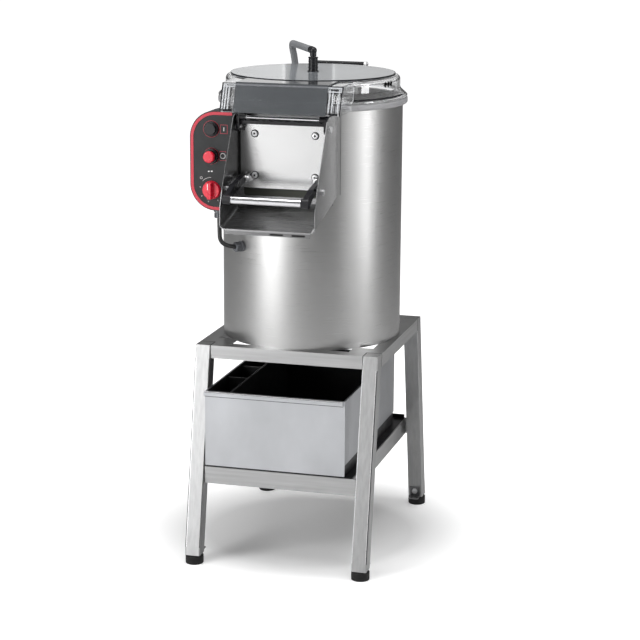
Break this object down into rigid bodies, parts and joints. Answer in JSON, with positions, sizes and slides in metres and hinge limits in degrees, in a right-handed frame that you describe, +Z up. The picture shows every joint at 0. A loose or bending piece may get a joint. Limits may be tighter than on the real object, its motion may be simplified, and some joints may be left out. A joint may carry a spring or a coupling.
{
  "type": "potato peeler",
  "caption": "Floor-standing abrasive potato peeler: steel drum with turning plate, hinged lid, front door with chute and latch handle, control panel, stand with filter box.",
  "frame": {"origin": "on the floor, on the axis of the peeling drum", "axes": "+Z up, front with the chute towards -Y, control panel towards -X"},
  "size_m": [0.4338, 0.6835, 1.1575],
  "materials": {
    "stand_steel": "satin",
    "drum_steel": "satin, brushed",
    "bright_steel": "bright",
    "chrome": "polished",
    "black_plastic": "matt",
    "housing_plastic": "matt, dark grey",
    "red_plastic": "semi-gloss",
    "rim_plastic": "matt light grey",
    "clear_plastic": "clear polycarbonate",
    "smoke_plastic": "smoke-tinted polycarbonate",
    "foot_rubber": "matt",
    "belt_rubber": "matt",
    "seal_rubber": "matt dark olive",
    "hose_grey": "satin grey",
    "gland_grey": "matt",
    "abrasive": "grit coated, rough",
    "cast": "machined",
    "motor_paint": "enamel",
    "brass": "machined"
  },
  "bodies": {
    "machine": {"stand_legs": "stand_steel", "top_rails": "stand_steel", "shelf_frame": "stand_steel", "shelf_panel": "black_plastic", "foot_studs": "bright_steel", "anchor_tabs": "black_plastic", "anchor_bolts": "bright_steel", "drum_shell": "drum_steel", "drum_bolts": "bright_steel", "rim_ring": "rim_plastic", "abrasive_lining": "abrasive", "drum_floor": "drum_steel", "waste_outlet": "black_plastic", "bearing_housing": "cast", "drive_belt": "belt_rubber", "motor": "motor_paint", "motor_plate": "drum_steel", "chute": "drum_steel", "door_pivots": "bright_steel", "keeper_studs": "bright_steel", "water_hose": "hose_grey", "water_valve": "brass", "hinge_bracket": "drum_steel", "hinge_rod": "bright_steel", "panel_housing": "housing_plastic", "panel_face": "black_plastic", "panel_border": "red_plastic", "button_bezels": "black_plastic", "switch_blocks": "housing_plastic", "cable_glands": "gland_grey", "control_cable": "belt_rubber"},
    "lid": {"lid_hood": "clear_plastic", "lid_disc": "smoke_plastic", "lid_front_panel": "smoke_plastic", "lid_hinge_arm": "black_plastic", "inlet_fitting": "black_plastic", "inlet_elbow": "black_plastic"},
    "door": {"door_plate": "bright_steel", "door_seal": "seal_rubber", "door_bolts": "bright_steel", "door_yoke": "black_plastic", "yoke_rod": "chrome", "arm_bolts": "bright_steel"},
    "latch_handle": {"handle_arms": "black_plastic", "handle_tube": "chrome", "arm_rests": "black_plastic"},
    "start_button": {"start_button": "black_plastic"},
    "stop_button": {"stop_button": "red_plastic"},
    "timer_knob": {"timer_knob": "red_plastic"},
    "turntable": {"abrasive_plate": "abrasive", "drive_shaft": "bright_steel", "driven_pulley": "cast"},
    "motor_rotor": {"motor_pulley": "cast"},
    "filter_box": {"filter_box": "stand_steel", "box_liner": "black_plastic"},
    "baffle": {"box_baffle": "black_plastic"},
    "foot_front_left": {"foot_front_left": "foot_rubber"},
    "foot_front_right": {"foot_front_right": "foot_rubber"},
    "foot_rear_left": {"foot_rear_left": "foot_rubber"},
    "foot_rear_right": {"foot_rear_right": "foot_rubber"}
  },
  "joints": [
    {"name": "lid_hinge", "type": "hinge", "parent": "machine", "child": "lid", "pos_m": [0, 0.24, 1.098], "axis": [-1, 0, 0], "range_deg": [0, 80], "deforming": ["water_hose"]},
    {"name": "door_hinge", "type": "hinge", "parent": "machine", "child": "door", "pos_m": [0, -0.246, 1.003], "axis": [-1, 0, 0], "range_deg": [0, 75]},
    {"name": "latch_lift", "type": "hinge", "parent": "door", "child": "latch_handle", "pos_m": [0, -0.25, 0.889], "axis": [-1, 0, 0], "range_deg": [0, 30]},
    {"name": "start_press", "type": "slide", "parent": "machine", "child": "start_button", "axis": [0, 1, 0], "range_m": [0, 0.003], "stiffness_N_per_m": 400},
    {"name": "stop_press", "type": "slide", "parent": "machine", "child": "stop_button", "axis": [0, 1, 0], "range_m": [0, 0.004], "stiffness_N_per_m": 400},
    {"name": "timer_turn", "type": "hinge", "parent": "machine", "child": "timer_knob", "pos_m": [-0.1665, -0.24, 0.8565], "axis": [0, 1, 0], "range_deg": [0, 300]},
    {"name": "table_spin", "type": "hinge", "parent": "machine", "child": "turntable", "pos_m": [0, 0, 0.82], "axis": [0, 0, 1], "continuous": true},
    {"name": "motor_spin", "type": "hinge", "parent": "machine", "child": "motor_rotor", "pos_m": [0.10825, -0.0625, 0.69], "axis": [0, 0, 1], "continuous": true},
    {"name": "box_slide", "type": "slide", "parent": "machine", "child": "filter_box", "axis": [0, -1, 0], "range_m": [0, 0.4]},
    {"name": "baffle_lift", "type": "slide", "parent": "filter_box", "child": "baffle", "axis": [0, 0, 1], "range_m": [0, 0.06]},
    {"name": "foot_turn_front_left", "type": "hinge", "parent": "machine", "child": "foot_front_left", "pos_m": [-0.196, -0.28569, 0.01], "axis": [0, 0, 1], "continuous": true},
    {"name": "foot_turn_front_right", "type": "hinge", "parent": "machine", "child": "foot_front_right", "pos_m": [0.196, -0.28569, 0.01], "axis": [0, 0, 1], "continuous": true},
    {"name": "foot_turn_rear_left", "type": "hinge", "parent": "machine", "child": "foot_rear_left", "pos_m": [-0.196, 0.28569, 0.01], "axis": [0, 0, 1], "continuous": true},
    {"name": "foot_turn_rear_right", "type": "hinge", "parent": "machine", "child": "foot_rear_right", "pos_m": [0.196, 0.28569, 0.01], "axis": [0, 0, 1], "continuous": true}
  ],
  "couplings": [
    {"joint": "motor_spin", "follows": "table_spin", "ratio": 3.2143}
  ]
}
